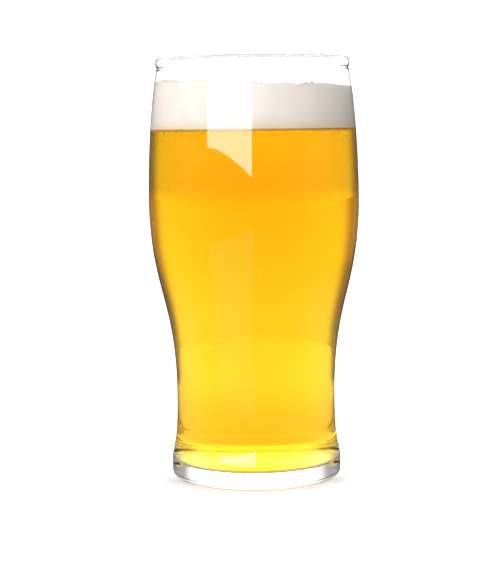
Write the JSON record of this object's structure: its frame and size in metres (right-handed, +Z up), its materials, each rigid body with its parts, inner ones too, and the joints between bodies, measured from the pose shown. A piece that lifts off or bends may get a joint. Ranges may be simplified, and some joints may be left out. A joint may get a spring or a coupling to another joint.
{
  "type": "glass of ale",
  "caption": "Clear tulip pint glass with a thick foot, bulged upper wall and beaded rim, filled with golden ale under a white head of foam.",
  "frame": {"origin": "centre of the foot, on the surface that the glass stands on", "axes": "+Z up along the glass's axis, -Y towards the viewer of the picture, +X to the viewer's right"},
  "size_m": [0.0808, 0.0808, 0.1605],
  "materials": {
    "clear_glass": "clear soda-lime glass, fire polished",
    "golden_ale": "clear golden liquid with fine bubbles",
    "white_foam": "fine moist froth"
  },
  "bodies": {
    "root": {"glass": "clear_glass", "ale": "golden_ale", "foam": "white_foam"}
  },
  "joints": []
}
